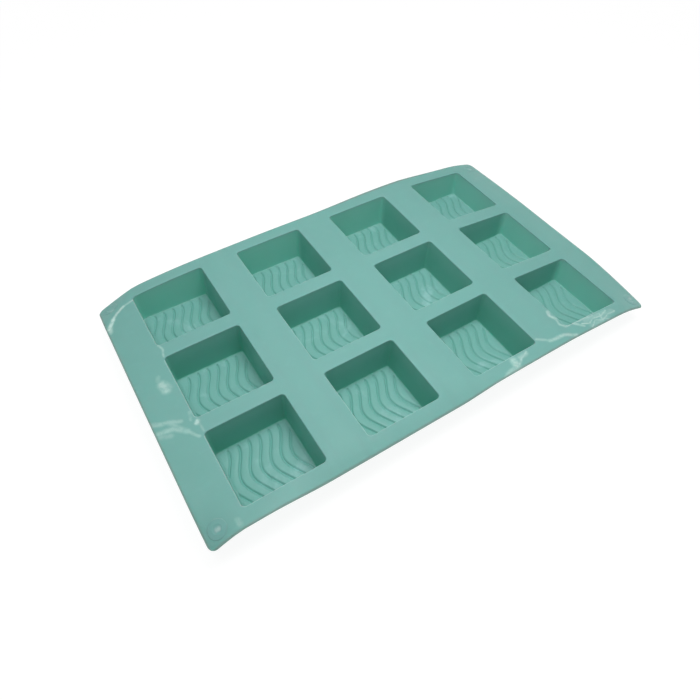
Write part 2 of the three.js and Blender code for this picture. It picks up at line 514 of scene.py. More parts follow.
@dataclass(frozen=True)
class MouldPlan:
    """Where everything lies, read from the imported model's boxes, and the sizes all pieces share."""

    columns: int = 4
    rows: tuple[str, ...] = ("A", "B", "C")
    mouth_side: float = 46.4 * MM
    collar: float = 2.6 * MM
    rim_radius: float = 0.6 * MM
    rim_reach: float = 0.3 * MM
    neck_reach: float = 2.1 * MM
    rim_steps: int = 6
    deck_thickness: float = 1.5 * MM
    floor_thickness: float = 1.5 * MM
    sheet_corner: float = 4.0 * MM
    ring: SquareRing = field(default_factory=SquareRing)
    droop: Droop = field(default_factory=Droop)

    def centre(self, row: str, column: int) -> tuple[float, float]:
        """Middle of a cavity, from its wall's box."""
        low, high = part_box(f"cavity_wall_{row}{column}")
        return (low.x + high.x) / 2.0, (low.y + high.y) / 2.0

    def deck_top(self) -> float:
        """Height of the flat deck."""
        return float(cad_high.z)

    def seam(self, column: int) -> float:
        """Line between a deck panel and the hinge web on its right, midway in the gap.

        Args:
            column: Which column, from 1 at the left.

        Returns:
            The place along the sheet.
        """
        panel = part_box(f"deck_panel_{column}")[1].x
        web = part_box(f"hinge_web_{column}{column + 1}")[0].x
        return (panel + web) / 2.0

    def other_seam(self, column: int) -> float:
        """Line between a deck panel and the hinge web on its left, midway in the gap.

        Args:
            column: Which column, from 1 at the left.

        Returns:
            The place along the sheet.
        """
        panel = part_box(f"deck_panel_{column}")[0].x
        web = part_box(f"hinge_web_{column - 1}{column}")[1].x
        return (panel + web) / 2.0

    def inner_radius(self, offset: Array) -> Array:
        """Corner radius of the mouth and the cavity's inside at each offset from the mouth's line."""
        return np.interp(offset, np.array([-2.0, -1.4, 0.0, 2.6]) * MM, np.array([1.1, 1.7, 2.4, 5.0]) * MM)

    def outer_radius(self, offset: Array) -> Array:
        """Corner radius of the cavity's outside at each offset from the mouth's line."""
        return np.interp(offset, np.array([-1.5, 0.0, 1.1, 2.6]) * MM, np.array([1.9, 3.3, 3.8, 5.0]) * MM)

    def rim(self) -> tuple[Array, Array]:
        """The rim's quarter arc from the wall up to the deck.

        Returns:
            Offsets from the mouth's line, and heights.
        """
        turn = np.linspace(math.pi / 2.0, 0.0, self.rim_steps + 1)
        height = self.deck_top() - self.rim_radius * (1.0 - np.cos(turn))
        return self.rim_reach - self.rim_radius * np.sin(turn), height

    def collar_shares(self) -> Array:
        """Where each point of one side of the ring on the deck lies between the corners, -1 to 1."""
        radius = float(self.inner_radius(np.array(self.collar)))
        return self.ring.shares(self.mouth_side / 2.0 + self.collar, radius)

    def lip_inset(self) -> float:
        """How far the flat top stops short of the sheet's outline, for its rounded lip."""
        return self.deck_thickness / 2.0

    def panel_span(self, column: int) -> tuple[float, float]:
        """Left and right limits of a deck panel's flat top.

        Args:
            column: Which column, from 1 at the left.

        Returns:
            Where it starts and ends along the sheet.
        """
        inset = self.lip_inset()
        left = float(cad_low.x) + inset if column == 1 else self.other_seam(column)
        right = float(cad_high.x) - inset if column == self.columns else self.seam(column)
        return left, right

    def row_span(self, row: str) -> tuple[float, float]:
        """Front and back limits of a row's share of the flat top.

        Args:
            row: The row, A at the back to C at the front.

        Returns:
            Where it starts and ends across the sheet.
        """
        order = self.rows.index(row)
        inset = self.lip_inset()
        middles = [self.centre(r, 1)[1] for r in self.rows]
        back = float(cad_high.y) - inset if order == 0 else (middles[order - 1] + middles[order]) / 2.0
        last = len(self.rows) - 1
        front = float(cad_low.y) + inset if order == last else (middles[order + 1] + middles[order]) / 2.0
        return front, back

    def bulge(self, points: Array) -> Array:
        """For each flat-top point, the way and distance its lip bulges: nought away from the outline.

        The outline is a box with rounded corners, so the way out is from the nearest point of the
        box that is shrunk by the corner radius.

        Args:
            points: Places on the flat top.

        Returns:
            One vector for each point.
        """
        inset = self.lip_inset()
        half = np.array([float(cad_high.x), float(cad_high.y)])
        core = half - self.sheet_corner
        away = points[:, :2] - np.clip(points[:, :2], -core, core)
        length = np.linalg.norm(away, axis=1)
        on_rim = length > self.sheet_corner - inset - 0.01 * MM
        way = away / np.maximum(length, 1e-9)[:, None] * (inset * on_rim)[:, None]
        return np.column_stack([way, np.zeros(len(points))])


PLAN = MouldPlan()


# ---------------------------------------------------------------- finishes


class Graph:
    """Makes and joins the nodes of one material."""

    def __init__(self, name: str) -> None:
        """Starts a material with only its output and its shader.

        Args:
            name: The material's name.
        """
        self.material = bpy.data.materials.new(name)
        self.material.use_nodes = True
        self.tree = self.material.node_tree
        self.tree.nodes.clear()
        self.output = self.tree.nodes.new("ShaderNodeOutputMaterial")
        self.shader = self.tree.nodes.new("ShaderNodeBsdfPrincipled")
        self.join(self.shader.outputs[0], self.output.inputs["Surface"])

    def node(self, kind: str, **settings: object) -> bpy.types.Node:
        """Adds a node and sets its properties.

        Args:
            kind: Name of the node's type, without its prefix.
            **settings: Properties to set.

        Returns:
            The new node.
        """
        made = self.tree.nodes.new("ShaderNode" + kind)
        for key, value in settings.items():
            setattr(made, key, value)
        return made

    def join(self, source: Socket, target: Socket) -> None:
        """Links an output to an input."""
        self.tree.links.new(source, target)

    def place(self) -> Socket:
        """Places on the piece, in metres."""
        return self.node("TexCoord").outputs["Object"]

    def noise(self, place: Socket, scale: float, detail: float = 3.0, roughness: float = 0.5,
              distortion: float = 0.0) -> bpy.types.Node:
        """Adds a cloud pattern.

        Args:
            place: Where it is read.
            scale: Clouds in a metre.
            detail: Finer layers.
            roughness: Strength of the finer layers.
            distortion: How far it swirls.

        Returns:
            The noise node.
        """
        made = self.node("TexNoise")
        made.inputs["Scale"].default_value = scale
        made.inputs["Detail"].default_value = detail
        made.inputs["Roughness"].default_value = roughness
        made.inputs["Distortion"].default_value = distortion
        self.join(place, made.inputs["Vector"])
        return made

    def math(self, operation: str, first: Socket, second: Socket | float = 0.0,
             clamp: bool = False) -> Socket:
        """Combines two numbers.

        Args:
            operation: What to do with them.
            first: The first number.
            second: The second number, joined or set.
            clamp: Whether to keep the result between 0 and 1.

        Returns:
            The result.
        """
        made = self.node("Math", operation=operation, use_clamp=clamp)
        self.join(first, made.inputs[0])
        if isinstance(second, (int, float)):
            made.inputs[1].default_value = second
        else:
            self.join(second, made.inputs[1])
        return made.outputs[0]

    def vector(self, operation: str, first: Socket, second: tuple[float, float, float]) -> Socket:
        """Combines a vector with a fixed one.

        Args:
            operation: What to do with them.
            first: The vector.
            second: The fixed vector.

        Returns:
            The result.
        """
        made = self.node("VectorMath", operation=operation)
        self.join(first, made.inputs[0])
        made.inputs[1].default_value = second
        return made.outputs[0]

    def spread(self, value: Socket, low: float, high: float, to_low: float, to_high: float) -> Socket:
        """Stretches a number from one span to another, and stops at its ends.

        Args:
            value: The number.
            low: Start of its span.
            high: End of its span.
            to_low: What the start becomes.
            to_high: What the end becomes.

        Returns:
            The stretched number.
        """
        made = self.node("MapRange", interpolation_type="SMOOTHSTEP")
        self.join(value, made.inputs["Value"])
        for key, setting in (("From Min", low), ("From Max", high), ("To Min", to_low), ("To Max", to_high)):
            made.inputs[key].default_value = setting
        return made.outputs["Result"]

    def blend(self, share: Socket, first: Socket | Colour, second: Socket | Colour,
              way: str = "MIX") -> Socket:
        """Goes from one colour to another.

        Args:
            share: 0 for the first, 1 for the second.
            first: The first colour, joined or set.
            second: The second colour, joined or set.
            way: How the second goes over the first.

        Returns:
            The blended colour.
        """
        made = self.node("Mix", data_type="RGBA", blend_type=way)
        self.join(share, made.inputs["Factor"])
        colours = [s for s in made.inputs if s.type == "RGBA"]
        for socket, value in zip(colours, (first, second)):
            if isinstance(value, tuple):
                socket.default_value = value
            else:
                self.join(value, socket)
        return [s for s in made.outputs if s.type == "RGBA"][0]

    def bump(self, height: Socket, distance: float, strength: float, below: Socket | None = None) -> Socket:
        """Makes a surface relief.

        Args:
            height: Its height, 0 to 1.
            distance: What a height of 1 is in metres.
            strength: Share of the relief that is kept.
            below: A relief that lies under it.

        Returns:
            The bent normal.
        """
        made = self.node("Bump")
        made.inputs["Strength"].default_value = strength
        made.inputs["Distance"].default_value = distance
        self.join(height, made.inputs["Height"])
        if below is not None:
            self.join(below, made.inputs["Normal"])
        return made.outputs["Normal"]


@dataclass(frozen=True)
class Strand:
    """One pale strand: a soft-edged line of even width on the sheet, in millimetres. Most are unmixed
    silicone; those along the folded corner's crease are partly a painted highlight.
    """

    start: tuple[float, float]
    end: tuple[float, float]
    width: float
    strength: float

    def mask(self, graph: Graph, place: Socket) -> Socket:
        """Strength of the strand at a place: one less the distance to the line in units of the
        strand's half width, eased, times its strength.

        Args:
            graph: The material's nodes.
            place: Where it is read.

        Returns:
            The strand's share, 0 outside it.
        """
        across = (self.end[0] - self.start[0], self.end[1] - self.start[1])
        half = math.hypot(*across) / 2.0 / self.width
        mapping = graph.node("Mapping", vector_type="TEXTURE")
        middle = ((self.start[0] + self.end[0]) / 2.0, (self.start[1] + self.end[1]) / 2.0)
        mapping.inputs["Location"].default_value = (middle[0] * MM, middle[1] * MM, 0.0)
        mapping.inputs["Rotation"].default_value = (0.0, 0.0, math.atan2(across[1], across[0]))
        mapping.inputs["Scale"].default_value = (self.width * MM, self.width * MM, 1.0)
        graph.join(place, mapping.inputs["Vector"])
        folded = graph.vector("ABSOLUTE", mapping.outputs["Vector"], (0.0, 0.0, 0.0))
        past = graph.vector("SUBTRACT", folded, (half, 0.0, 0.0))
        ball = graph.node("TexGradient", gradient_type="SPHERICAL")
        graph.join(graph.vector("MAXIMUM", past, (0.0, 0.0, 0.0)), ball.inputs["Vector"])
        return graph.spread(ball.outputs["Fac"], 0.0, 0.85, 0.0, self.strength)


def chain(width: float, strength: float, *stops: tuple[float, float]) -> tuple[Strand, ...]:
    """Strands end to end through a few stops.

    Args:
        width: Half width of each strand, in millimetres.
        strength: How pale they are, from 0 to 1.
        *stops: Places on the sheet, in millimetres.

    Returns:
        One strand between each two neighbours.
    """
    return tuple(Strand(a, b, width, strength) for a, b in zip(stops[:-1], stops[1:]))


# The strands' routes on the sheet, in whole millimetres.
# The crease strands are partly pale silicone and partly a painted highlight along the crease of the folded
# back left corner.
CREASE_HIGHLIGHT_AND_STRANDS = (
    *chain(1.2, 0.42, (-128, 77), (-135, 75)),
    *chain(1.5, 0.62, (-135, 75), (-140, 72), (-144, 68)),
    *chain(2.2, 0.72, (-144, 68), (-148, 62)),
    *chain(2.0, 0.42, (-146, 65), (-148, 59)),
)
LEFT_STRANDS = (
    *chain(1.1, 0.32, (-128, 33), (-127, 29), (-128, 24)),
    *chain(1.7, 0.16, (-136, 12), (-137, 9)),
    *chain(3.6, 0.42, (-136, 6), (-135, 1)),
    *chain(2.6, 0.22, (-134, 5), (-133, 2)),
    *chain(1.2, 0.16, (-130, -18), (-131, -23)),
    *chain(1.8, 0.60, (-128, -25), (-129, -26)),
    *chain(1.0, 0.18, (-128, -27), (-128, -32)),
    *chain(2.0, 0.26, (-150, -15), (-142, -18), (-136, -21)),
    *chain(2.3, 0.24, (-141, -19), (-138, -25)),
    *chain(2.4, 0.30, (-148, -22), (-140, -23), (-135, -28)),
    *chain(1.4, 0.26, (-135, -28), (-131, -34)),
    *chain(2.2, 0.16, (-148, -24), (-143, -26)),
    *chain(2.2, 0.20, (-133, -83), (-133, -85)),
    *chain(1.7, 0.34, (-143, -81), (-142, -81)),
    *chain(1.5, 0.22, (-143, 77), (-142, 77)),
    *chain(1.7, 0.26, (143, 80), (144, 80)),
    *chain(1.9, 0.28, (143, -80), (144, -80)),
)
FRONT_STRANDS = (
    *chain(3.4, 0.46, (38, -82), (37, -85)),
    *chain(2.4, 0.30, (29, -87), (35, -86)),
    *chain(2.2, 0.30, (42, -82), (47, -82)),
    *chain(1.2, 0.40, (38, -86), (43, -83), (48, -81)),
    *chain(1.2, 0.24, (24, -78), (40, -79)),
    *chain(1.8, 0.30, (27, -88), (38, -88)),
    *chain(1.4, 0.26, (60, -77), (66, -82)),
    *chain(1.9, 0.38, (66, -82), (76, -83), (83, -87)),
    *chain(1.9, 0.46, (81, -65), (80, -68), (81, -71)),
    *chain(1.2, 0.36, (81, -71), (80, -76), (82, -79), (85, -79)),
    *chain(1.3, 0.40, (87, -78), (93, -84)),
    *chain(1.1, 0.34, (88, -79), (105, -80)),
    *chain(3.0, 0.22, (97, -81), (114, -82)),
    *chain(3.2, 0.18, (98, -86), (105, -86), (119, -83)),
    *chain(1.0, 0.44, (93, -82), (98, -84), (103, -82), (109, -83), (116, -81)),
    *chain(0.9, 0.40, (97, -87), (103, -84), (108, -86), (114, -84), (121, -84)),
    *chain(1.1, 0.40, (110, -81), (108, -86)),
    *chain(0.9, 0.34, (101, -79), (104, -84), (113, -87)),
)


class Mottle(NamedTuple):
    """How an uneven pattern runs: its scale per metre, its layers, their roughness and its twist."""

    scale: float
    layers: float
    roughness: float
    twist: float = 0.0


class Zone(Enum):
    """Which part of the moulding a finish is for."""

    DECK = "deck_silicone"
    WEB = "web_silicone"
    WALL = "wall_silicone"
    FLOOR = "floor_silicone"


@dataclass(frozen=True)
class Silicone:
    """Matt, slightly translucent silicone with cloudy colour, fine grain and pale unmixed strands, with
    painted light on top: highlights on rims and crease, shade along the outer edge, lighter walls and sheen
    on the floors.
    """

    zone: Zone
    body: Colour
    deep: Colour
    pale: Colour
    # The pale colour of the strands, also used for the painted highlights and the floors' sheen.
    cream: Colour = srgb(203, 224, 219)
    roughness: tuple[float, float] = (0.46, 0.60)
    grain: float = 0.05 * MM
    strands: tuple[Strand, ...] = ()
    swirl: float = 2.2 * MM
    # How strong the painted highlight on the deck's rims is, and which way the lit rims face.
    rim: float = 0.0
    rim_highlight_way: tuple[float, float, float] = (0.66, 0.75, 0.0)
    # Painted shade along the sheet's outer edge: its colour, where it starts and ends, and how strong it is.
    edge_shade: Colour | None = None
    edge_shade_start: float = 1.3 * MM
    edge_shade_end: float = 0.5 * MM
    edge_shade_share: float = 0.6
    # Painted light on the walls: lighter on the outermost right and back walls and towards their tops.
    painted_wall_light: Colour | None = None
    far_right: tuple[float, float] = (122.0 * MM, 127.0 * MM)
    far_back: tuple[float, float] = (72.0 * MM, 77.0 * MM)
    far_back_share: float = 0.75
    upper: tuple[float, float] = (12.0 * MM, 25.0 * MM)
    upper_share: float = 0.35
    # Strength of the floors' whitish patches, partly a dry coating and partly painted sheen.
    coating_and_sheen: float = 0.0
    broad_clouds: Mottle = Mottle(14.0, 3.0, 0.55)
    fine_clouds: Mottle = Mottle(160.0, 4.0, 0.6)
    coating_and_sheen_patches: Mottle = Mottle(38.0, 5.0, 0.62, 0.6)
    strand_swirl: Mottle = Mottle(150.0, 3.0, 0.55)
    strand_wisps: Mottle = Mottle(380.0, 4.0, 0.6, 0.6)
    gloss_patches: Mottle = Mottle(55.0, 4.0, 0.6)
    swells: Mottle = Mottle(70.0, 2.0, 0.5)
    swell_height: float = 0.25 * MM
    specks: Mottle = Mottle(1900.0, 2.0, 0.6)
    refraction: float = 1.41
    shine: float = 0.28
    glow_through: float = 0.5
    glow_depth: float = 3.0 * MM
    glow_spread: tuple[float, float, float] = (0.35, 1.0, 0.8)

    def build(self) -> bpy.types.Material:
        """Makes the material: cloudy colour, strands, uneven gloss and a fine grain, with the painted
        highlights, shade, wall light and floor sheen.

        Returns:
            The finished material.
        """
        graph = Graph(self.zone.value + "_look")
        place = graph.place()
        colour = self._clouds(graph, place)
        if self.coating_and_sheen > 0.0:
            colour = self._add_coating_and_sheen(graph, place, colour)
        if self.strands:
            colour = self._add_strands(graph, place, colour)
        if self.rim > 0.0:
            colour = self._add_painted_rim_highlight(graph, colour)
        if self.edge_shade is not None:
            colour = self._add_painted_edge_shade(graph, place, colour, self.edge_shade)
        if self.painted_wall_light is not None:
            colour = self._add_painted_wall_light(graph, place, colour, self.painted_wall_light)
        graph.join(colour, graph.shader.inputs["Base Color"])
        self._gloss(graph, place)
        self._relief(graph, place)
        graph.shader.inputs["IOR"].default_value = self.refraction
        graph.shader.inputs["Subsurface Weight"].default_value = self.glow_through
        graph.shader.inputs["Subsurface Scale"].default_value = self.glow_depth
        graph.shader.inputs["Subsurface Radius"].default_value = self.glow_spread
        graph.shader.inputs["Specular IOR Level"].default_value = self.shine
        return graph.material

    def _clouds(self, graph: Graph, place: Socket) -> Socket:
        """Body colour that drifts to a deeper and a paler one in broad and fine clouds.

        Args:
            graph: The material's nodes.
            place: Where it is read.

        Returns:
            The new colour.
        """
        broad = graph.noise(place, *self.broad_clouds).outputs["Fac"]
        fine = graph.noise(place, *self.fine_clouds).outputs["Fac"]
        deep = graph.blend(graph.spread(broad, 0.35, 0.75, 0.0, 0.5), self.body, self.deep)
        return graph.blend(graph.spread(fine, 0.5, 0.85, 0.0, 0.35), deep, self.pale)

    def _add_coating_and_sheen(self, graph: Graph, place: Socket, colour: Socket) -> Socket:
        """A dry, whitish coating and painted sheen in a few uneven patches.

        Args:
            graph: The material's nodes.
            place: Where it is read.
            colour: The colour under it.

        Returns:
            The new colour.
        """
        patch = graph.noise(place, *self.coating_and_sheen_patches).outputs["Fac"]
        coating_and_sheen_share = graph.spread(patch, 0.55, 0.74, 0.0, self.coating_and_sheen)
        return graph.blend(coating_and_sheen_share, colour, self.cream)

    def _add_strands(self, graph: Graph, place: Socket, colour: Socket) -> Socket:
        """Pale strands read at a place that fine noise has pulled about, and broken into wisps.

        Args:
            graph: The material's nodes.
            place: Where it is read.
            colour: The colour under them.

        Returns:
            The new colour.
        """
        swirl = graph.noise(place, *self.strand_swirl)
        centred = graph.vector("SUBTRACT", swirl.outputs["Color"], (0.5, 0.5, 0.5))
        pull = graph.node("VectorMath", operation="MULTIPLY_ADD")
        pull.inputs[1].default_value = (self.swirl, self.swirl, 0.0)
        graph.join(centred, pull.inputs[0])
        graph.join(place, pull.inputs[2])
        total = None
        for strand in self.strands:
            mask = strand.mask(graph, pull.outputs[0])
            total = mask if total is None else graph.math("MAXIMUM", total, mask)
        broken = graph.noise(place, *self.strand_wisps).outputs["Fac"]
        wisps = graph.spread(broken, 0.3, 0.62, 0.5, 1.0)
        return graph.blend(graph.math("MULTIPLY", total, wisps, clamp=True), colour, self.cream)

    def _add_painted_rim_highlight(self, graph: Graph, colour: Socket) -> Socket:
        """A painted highlight: a lighter edge where the deck's rims turn down towards the right or the back.

        Args:
            graph: The material's nodes.
            colour: The colour under it.

        Returns:
            The new colour.
        """
        turned = graph.node("VectorMath", operation="DOT_PRODUCT")
        graph.join(graph.node("TexCoord").outputs["Normal"], turned.inputs[0])
        turned.inputs[1].default_value = self.rim_highlight_way
        share = graph.spread(turned.outputs["Value"], 0.05, 0.55, 0.0, self.rim)
        return graph.blend(share, colour, self.cream)

    def _add_painted_edge_shade(self, graph: Graph, place: Socket, colour: Socket, edge_shade: Colour) -> Socket:
        """Painted shade: a duller, greyer line along the sheet's outer edge, where the edge's thickness lies
        in shade.

        Args:
            graph: The material's nodes.
            place: Where it is read.
            colour: The colour under it.
            edge_shade: The line's colour.

        Returns:
            The new colour.
        """
        split = graph.node("SeparateXYZ")
        graph.join(place, split.inputs[0])
        along = graph.math("ABSOLUTE", split.outputs["X"])
        across = graph.math("ABSOLUTE", split.outputs["Y"])
        end, side = float(cad_high.x), float(cad_high.y)
        ends = graph.spread(along, end - self.edge_shade_start, end - self.edge_shade_end, 0.0, self.edge_shade_share)
        sides = graph.spread(across, side - self.edge_shade_start, side - self.edge_shade_end, 0.0, self.edge_shade_share)
        return graph.blend(graph.math("MAXIMUM", ends, sides, clamp=True), colour, edge_shade)

    def _add_painted_wall_light(self, graph: Graph, place: Socket, colour: Socket, paler: Colour) -> Socket:
        """Painted light: a lighter colour on the outermost walls at the right and the back, where more light
        comes through them, and a little near the rims, where more light reaches the walls' tops.

        Args:
            graph: The material's nodes.
            place: Where it is read.
            colour: The colour under it.
            paler: The colour it turns to.

        Returns:
            The new colour.
        """
        split = graph.node("SeparateXYZ")
        graph.join(place, split.inputs[0])
        right = graph.spread(split.outputs["X"], *self.far_right, 0.0, 1.0)
        back = graph.spread(split.outputs["Y"], *self.far_back, 0.0, self.far_back_share)
        upper = graph.spread(split.outputs["Z"], *self.upper, 0.0, self.upper_share)
        side = graph.math("MAXIMUM", right, back)
        return graph.blend(graph.math("MAXIMUM", side, upper, clamp=True), colour, paler)

    def _gloss(self, graph: Graph, place: Socket) -> None:
        """Gloss that comes and goes in soft patches.

        Args:
            graph: The material's nodes.
            place: Where it is read.
        """
        uneven = graph.noise(place, *self.gloss_patches).outputs["Fac"]
        low, high = self.roughness
        graph.join(graph.spread(uneven, 0.3, 0.7, low, high), graph.shader.inputs["Roughness"])

    def _relief(self, graph: Graph, place: Socket) -> None:
        """A matt grain over a slightly uneven surface.

        Args:
            graph: The material's nodes.
            place: Where it is read.
        """
        uneven = graph.noise(place, *self.swells).outputs["Fac"]
        grain = graph.noise(place, *self.specks).outputs["Fac"]
        below = graph.bump(uneven, self.swell_height, 0.5)
        graph.join(graph.bump(grain, self.grain, 0.45, below), graph.shader.inputs["Normal"])


# ---------------------------------------------------------------- pieces of the mould


@dataclass(frozen=True)
class DeckPanel:
    """The deck sheet round one column's three cavities, with the sheet's own rounded lip."""

    column: int
    steps: int = 5
    end_steps: int = 14
    lip_rows: int = 6

    def _outline(self, row: str) -> Array:
        """The edge of one cavity's share of the sheet, point for point with the cavity's ring.

        On each half side a point goes its share of the way from the side's middle to the corner,
        along the straight and then, where the sheet's corner is round, along a quarter arc's half.

        Args:
            row: The cavity's row.

        Returns:
            Array of points by two, about the cavity's middle.
        """
        plan = PLAN
        cx, cy = plan.centre(row, self.column)
        left, right = plan.panel_span(self.column)
        front, back = plan.row_span(row)
        reach = np.array([right - cx, back - cy, cx - left, cy - front])
        share = plan.collar_shares()
        inset = plan.lip_inset()
        at_end = (self.column == plan.columns, self.column == 1)
        at_side = (row == plan.rows[0], row == plan.rows[-1])
        rounded = plan.sheet_corner - inset
        radius = {
            (0, 1): rounded if at_end[0] and at_side[0] else 0.0,
            (1, 2): rounded if at_end[1] and at_side[0] else 0.0,
            (2, 3): rounded if at_end[1] and at_side[1] else 0.0,
            (3, 0): rounded if at_end[0] and at_side[1] else 0.0,
        }
        sides = []
        for side in range(4):
            after, before = (side + 1) % 4, (side - 1) % 4
            ahead = self._half_side(share, reach[side], reach[after], radius[(side, after)])
            behind = self._half_side(-share, reach[side], reach[before], radius[(before, side)])
            behind[:, 1] *= -1.0
            one = np.where((share >= 0.0)[:, None], ahead, behind)
            turn = side * math.pi / 2.0
            spin = np.array([[math.cos(turn), math.sin(turn)], [-math.sin(turn), math.cos(turn)]])
            sides.append(one @ spin)
        return np.concatenate(sides) + np.array([cx, cy])

    @staticmethod
    def _half_side(share: Array, out: float, along: float, radius: float) -> Array:
        """Half a side, from its middle to its corner.

        Args:
            share: Share of the way to the corner.
            out: How far the side is from the middle.
            along: How far the corner is along the side.
            radius: The corner's radius.

        Returns:
            Points of the half side where share is positive.
        """
        flat = along - radius
        length = np.clip(share, 0.0, 1.0) * (flat + radius * math.pi / 4.0)
        angle = np.maximum(0.0, length - flat) / max(radius, 1e-9) if radius > 0.0 else np.zeros(len(share))
        x = out - radius + radius * np.cos(angle)
        y = np.minimum(length, flat) + radius * np.sin(angle)
        return np.stack([x, y], -1)

    def _cell(self, row: str) -> Sheet:
        """One cavity's share of the sheet: its rounded rim, then straight lines from ring to edge.

        Args:
            row: The cavity's row.

        Returns:
            The open surface, with the underside's place under each point.
        """
        plan = PLAN
        middle = np.array(plan.centre(row, self.column))
        top = plan.deck_top()
        rim_offset, rim_height = plan.rim()
        offset = np.append(rim_offset, plan.collar)
        rings = plan.ring.points(plan.mouth_side / 2.0 + offset, plan.inner_radius(offset)) + middle
        low_offset = np.full(len(offset), plan.neck_reach)
        low_offset[-1] = plan.collar
        low = plan.ring.points(plan.mouth_side / 2.0 + low_offset, plan.outer_radius(low_offset)) + middle
        edge = self._outline(row)
        steps = self.end_steps if self.column in (1, plan.columns) else self.steps
        share = np.linspace(0.0, 1.0, steps + 1)[1:, None, None]
        spread = rings[-1] * (1.0 - share) + edge * share
        height = np.concatenate([rim_height, np.full(steps + 1, top)])
        tall = np.broadcast_to(height[:, None, None], (len(height), plan.ring.count, 1))
        points = np.concatenate([np.concatenate([rings, spread]), tall], -1)
        deep = np.full((len(height), plan.ring.count, 1), top - plan.deck_thickness)
        under = np.concatenate([np.concatenate([low, spread]), deep], -1)
        faces = grid_faces(len(height), plan.ring.count, closed_columns=True)[:, ::-1]
        return Sheet(points.reshape(-1, 3), faces, under.reshape(-1, 3))

    def build(self, finish: bpy.types.Material) -> bpy.types.Object:
        """Makes the panel from its three cells, thickened and hung.

        Args:
            finish: The deck's material.

        Returns:
            The finished piece.
        """
        plan = PLAN
        cells = [self._cell(row) for row in plan.rows]
        offsets = np.cumsum([0] + [len(c.points) for c in cells[:-1]])
        faces = np.concatenate([c.faces + o for c, o in zip(cells, offsets)])
        points, under = (np.concatenate(part) for part in zip(*((c.points, c.under) for c in cells)))
        top = weld(Sheet(points, faces, under))
        solid = thicken(top, plan.bulge(top.points), self.lip_rows)
        piece = make_piece(f"deck_skin_{self.column}", plan.droop.hang(solid.points), [solid.faces], finish)
        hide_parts(f"deck_panel_{self.column}")
        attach(piece, f"strip_{self.column}")
        return piece


@dataclass(frozen=True)
class HingeWeb:
    """The plain strip of sheet between two columns, which bends as the mould is flexed."""

    left_column: int
    across_steps: int = 22
    lip_rows: int = 6

    def build(self, finish: bpy.types.Material) -> bpy.types.Object:
        """Makes the strip as a flat grid, thickened and hung.

        Args:
            finish: The deck's material.

        Returns:
            The finished piece.
        """
        plan = PLAN
        left, right = plan.seam(self.left_column), plan.other_seam(self.left_column + 1)
        share = plan.collar_shares()
        lines = []
        for row in plan.rows:
            front, back = plan.row_span(row)
            middle = plan.centre(row, self.left_column)[1]
            lines.append(middle + np.where(share < 0.0, share * (middle - front), share * (back - middle)))
        ends = [plan.row_span(plan.rows[0])[1]]
        y = np.unique(np.round(np.concatenate([*lines, ends]), 7))
        x = np.linspace(left, right, self.across_steps + 1)
        gx, gy = np.meshgrid(x, y)
        points = np.stack([gx, gy, np.full(gx.shape, plan.deck_top())], -1).reshape(-1, 3)
        under = points - np.array([0.0, 0.0, plan.deck_thickness])
        solid = thicken(Sheet(points, grid_faces(len(y), len(x)), under), plan.bulge(points), self.lip_rows)
        name = f"{self.left_column}{self.left_column + 1}"
        piece = make_piece(f"web_skin_{name}", plan.droop.hang(solid.points), [solid.faces], finish)
        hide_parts(f"hinge_web_{name}")
        level = plan.deck_top()
        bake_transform(piece)
        return piece


